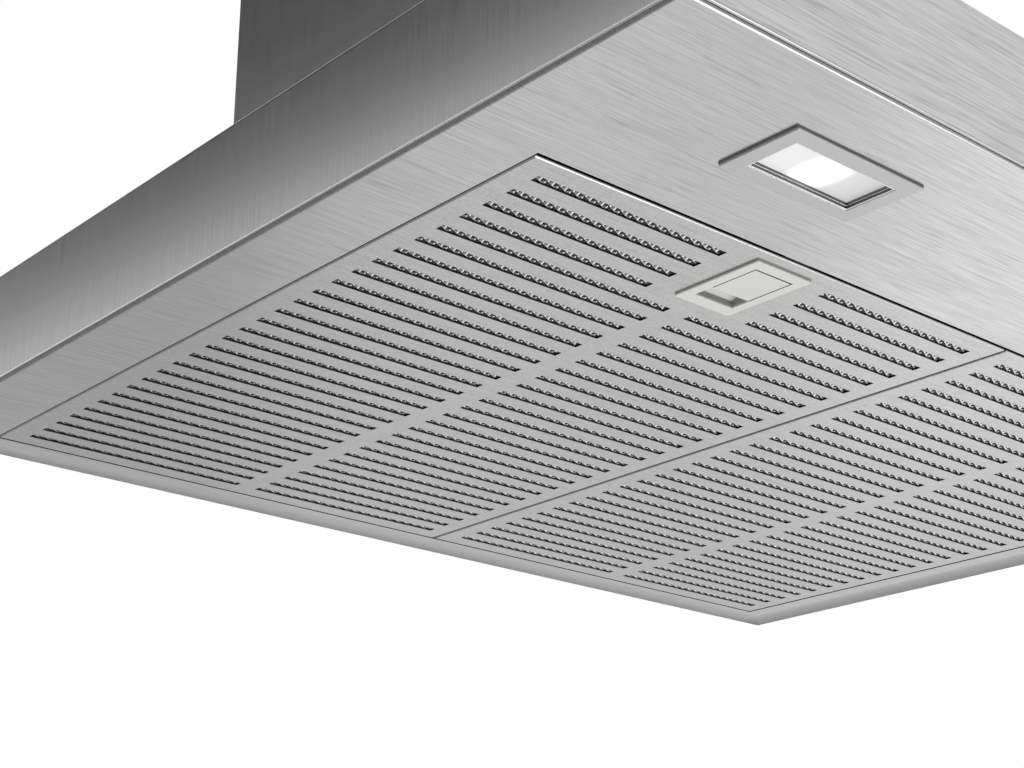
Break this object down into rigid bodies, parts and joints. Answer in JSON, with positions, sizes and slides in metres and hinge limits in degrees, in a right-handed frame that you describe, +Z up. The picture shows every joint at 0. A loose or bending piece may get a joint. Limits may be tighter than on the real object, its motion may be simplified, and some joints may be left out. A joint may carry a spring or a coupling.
{
  "type": "chimney range hood",
  "caption": "Slim wall-mounted chimney range hood in brushed steel, with slotted drop-down grease filters, sliding latches, lamps, buttons, blower and a telescoping chimney.",
  "frame": {"origin": "middle of the canopy's lower rear edge, on the wall plane", "axes": "+X to the right seen from the front, +Y into the wall, +Z up"},
  "size_m": [0.6, 0.507, 0.642],
  "materials": {
    "brushed_steel_body": "fine brushed stainless steel",
    "fascia_steel": "fine brushed stainless steel",
    "filter_steel": "fine brushed stainless steel, pressed slots",
    "mesh_aluminium": "bare expanded aluminium mesh",
    "frame_aluminium": "plain sheet",
    "galvanised_steel": "zinc coated",
    "latch_plastic": "satin warm grey",
    "slider_plastic": "satin warm grey",
    "spring_steel": "plain spring wire",
    "lamp_trim": "satin grey",
    "lamp_glass": "frosted",
    "lamp_housing": "moulded",
    "light_board": "white board",
    "button_metal": "satin",
    "dark_plastic": "moulded",
    "blower_plastic": "moulded",
    "motor_paint": "satin",
    "shaft_steel": "ground",
    "capacitor_can": "plain",
    "screw_steel": "zinc plated"
  },
  "bodies": {
    "hood": {"canopy_shell": "brushed_steel_body", "front_fascia": "fascia_steel", "bottom_pan": "brushed_steel_body", "lamp_bezel_left": "lamp_trim", "lamp_lens_left": "lamp_glass", "lamp_housing_left": "lamp_housing", "led_board_left": "light_board", "lamp_bezel_right": "lamp_trim", "lamp_lens_right": "lamp_glass", "lamp_housing_right": "lamp_housing", "led_board_right": "light_board", "switch_block": "dark_plastic", "control_box": "dark_plastic", "cable_gland": "dark_plastic", "air_box": "galvanised_steel", "air_box_screws": "screw_steel", "scroll_left": "blower_plastic", "scroll_right": "blower_plastic", "motor": "motor_paint", "motor_bracket": "galvanised_steel", "bracket_screws": "screw_steel", "capacitor": "capacitor_can", "outlet_collar": "blower_plastic", "flap_rods": "shaft_steel", "chimney_lower": "brushed_steel_body"},
    "upper_chimney": {"chimney_upper": "brushed_steel_body", "ceiling_bracket": "galvanised_steel", "chimney_screws": "screw_steel"},
    "fan_wheel": {"impeller": "blower_plastic", "motor_shaft": "shaft_steel"},
    "front_flap": {"flap_front": "blower_plastic"},
    "rear_flap": {"flap_rear": "blower_plastic"},
    "filter_left": {"filter_tray_left": "filter_steel", "filter_mesh_left": "mesh_aluminium", "filter_back_left": "frame_aluminium", "latch_bezel_left": "latch_plastic", "latch_spring_left": "spring_steel"},
    "latch_left": {"latch_slider_left": "slider_plastic"},
    "filter_right": {"filter_tray_right": "filter_steel", "filter_mesh_right": "mesh_aluminium", "filter_back_right": "frame_aluminium", "latch_bezel_right": "latch_plastic", "latch_spring_right": "spring_steel"},
    "latch_right": {"latch_slider_right": "slider_plastic"},
    "light_button": {"button_light": "button_metal"},
    "off_button": {"button_off": "button_metal"},
    "low_button": {"button_low": "button_metal"},
    "medium_button": {"button_medium": "button_metal"},
    "high_button": {"button_high": "button_metal"}
  },
  "joints": [
    {"name": "chimney_slide", "type": "slide", "parent": "hood", "child": "upper_chimney", "axis": [0, 0, 1], "range_m": [0, 0.25]},
    {"name": "fan_spin", "type": "hinge", "parent": "hood", "child": "fan_wheel", "pos_m": [0, -0.155, 0.158], "axis": [1, 0, 0], "continuous": true},
    {"name": "front_flap_hinge", "type": "hinge", "parent": "hood", "child": "front_flap", "pos_m": [0, -0.0912, 0.316], "axis": [-1, 0, 0], "range_deg": [0, 75]},
    {"name": "rear_flap_hinge", "type": "hinge", "parent": "hood", "child": "rear_flap", "pos_m": [0, -0.0828, 0.316], "axis": [1, 0, 0], "range_deg": [0, 75]},
    {"name": "filter_left_hinge", "type": "hinge", "parent": "hood", "child": "filter_left", "pos_m": [-0.13232, -0.0258, 0.0005], "axis": [1, 0, 0], "range_deg": [0, 60]},
    {"name": "latch_left_slide", "type": "slide", "parent": "filter_left", "child": "latch_left", "axis": [0, 1, 0], "range_m": [0, 0.007], "stiffness_N_per_m": 300, "deforming": ["latch_spring_left"]},
    {"name": "filter_right_hinge", "type": "hinge", "parent": "hood", "child": "filter_right", "pos_m": [0.13232, -0.0258, 0.0005], "axis": [1, 0, 0], "range_deg": [0, 60]},
    {"name": "latch_right_slide", "type": "slide", "parent": "filter_right", "child": "latch_right", "axis": [0, 1, 0], "range_m": [0, 0.007], "stiffness_N_per_m": 300, "deforming": ["latch_spring_right"]},
    {"name": "light_press", "type": "slide", "parent": "hood", "child": "light_button", "axis": [0, 1, 0], "range_m": [0, 0.002], "stiffness_N_per_m": 600},
    {"name": "off_press", "type": "slide", "parent": "hood", "child": "off_button", "axis": [0, 1, 0], "range_m": [0, 0.002], "stiffness_N_per_m": 600},
    {"name": "low_press", "type": "slide", "parent": "hood", "child": "low_button", "axis": [0, 1, 0], "range_m": [0, 0.002], "stiffness_N_per_m": 600},
    {"name": "medium_press", "type": "slide", "parent": "hood", "child": "medium_button", "axis": [0, 1, 0], "range_m": [0, 0.002], "stiffness_N_per_m": 600},
    {"name": "high_press", "type": "slide", "parent": "hood", "child": "high_button", "axis": [0, 1, 0], "range_m": [0, 0.002], "stiffness_N_per_m": 600}
  ]
}
